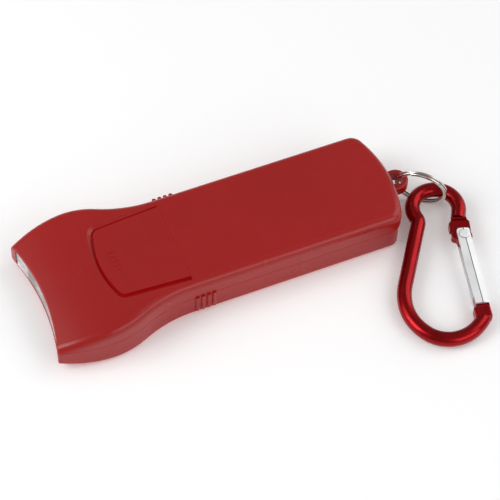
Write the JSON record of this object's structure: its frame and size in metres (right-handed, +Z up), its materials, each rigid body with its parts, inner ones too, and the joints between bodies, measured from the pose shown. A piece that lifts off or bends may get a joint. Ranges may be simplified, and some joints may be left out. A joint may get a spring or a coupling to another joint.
{
  "type": "keychain flashlight",
  "caption": "Flat pocket flashlight with a flared LED head, a press-tongue switch, a battery door, a split ring and a snap carabiner.",
  "frame": {"origin": "centre of the housing's flat underside, midway along the housing", "axes": "+X towards the keyring end (the beam leaves towards -X), +Y to the user's right hand side of the beam, +Z up out of the press tongue"},
  "size_m": [0.1244, 0.0754, 0.0154],
  "materials": {
    "red_shell": "glossy moulded ABS",
    "red_door": "glossy moulded ABS",
    "clear_lens": "clear polished polystyrene window",
    "reflector_chrome": "vacuum metallised",
    "led_epoxy": "water-clear epoxy",
    "tinned_lead": "tinned",
    "board_green": "solder mask",
    "black_component": "matte",
    "switch_white": "matte nylon",
    "cell_jacket": "printed jacket with steel ends",
    "spring_steel": "nickel plated",
    "wire_red": "PVC insulation",
    "wire_black": "PVC insulation",
    "zinc_screw": "zinc plated",
    "ring_nickel": "nickel plated steel",
    "anodised_red": "bright red anodised",
    "gate_aluminium": "bright rolled sheet"
  },
  "bodies": {
    "housing": {"top_shell": "red_shell", "bottom_shell": "red_shell", "lens": "clear_lens", "reflector": "reflector_chrome", "led_left": "led_epoxy", "led_centre": "led_epoxy", "led_right": "led_epoxy", "led_leads": "tinned_lead", "circuit_board": "board_green", "current_resistor": "black_component", "switch_body": "black_component", "aaa_cell_left": "cell_jacket", "aaa_cell_right": "cell_jacket", "positive_contact": "spring_steel", "negative_contact": "spring_steel", "bridge_contact": "spring_steel", "negative_spring": "spring_steel", "bridge_spring": "spring_steel", "supply_wire": "wire_red", "return_wire": "wire_black", "housing_screws": "zinc_screw"},
    "tongue": {"push_tongue": "red_shell"},
    "plunger": {"switch_plunger": "switch_white"},
    "door": {"battery_door": "red_door"},
    "ring": {"split_ring": "ring_nickel"},
    "carabiner": {"carabiner_body": "anodised_red", "gate_rivet": "gate_aluminium"},
    "gate": {"carabiner_gate": "gate_aluminium", "gate_spring": "spring_steel"}
  },
  "joints": [
    {"name": "tongue_press", "type": "hinge", "parent": "housing", "child": "tongue", "pos_m": [-0.0125, 0, 0.0124], "axis": [0, -1, 0], "range_deg": [0, 1.8], "stiffness_Nm_per_rad": 1.2, "springref_deg": -1.15},
    {"name": "plunger_travel", "type": "slide", "parent": "housing", "child": "plunger", "axis": [0, 0, -1], "range_m": [0, 0.0005]},
    {"name": "door_hinge", "type": "hinge", "parent": "housing", "child": "door", "pos_m": [-0.0002, 0, 0.0012], "axis": [0, 1, 0], "range_deg": [0, 80]},
    {"name": "ring_swing", "type": "hinge", "parent": "housing", "child": "ring", "pos_m": [0.0549, 0, 0.00775], "axis": [0, 0, 1], "range_deg": [-3, 100]},
    {"name": "carabiner_swing", "type": "hinge", "parent": "ring", "child": "carabiner", "pos_m": [0.06025, -0.00515, 0.00775], "axis": [-0.6497, -0.7474, -0.1392], "range_deg": [0, 80]},
    {"name": "gate_hinge", "type": "hinge", "parent": "carabiner", "child": "gate", "pos_m": [0.06554, -0.02267, 0.00316], "axis": [0.0097, 0.0308, -0.9995], "range_deg": [0, 24], "stiffness_Nm_per_rad": 0.06, "springref_deg": -14.32}
  ],
  "couplings": [
    {"joint": "plunger_travel", "follows": "tongue_press", "m_per_rad": 0.0155}
  ]
}
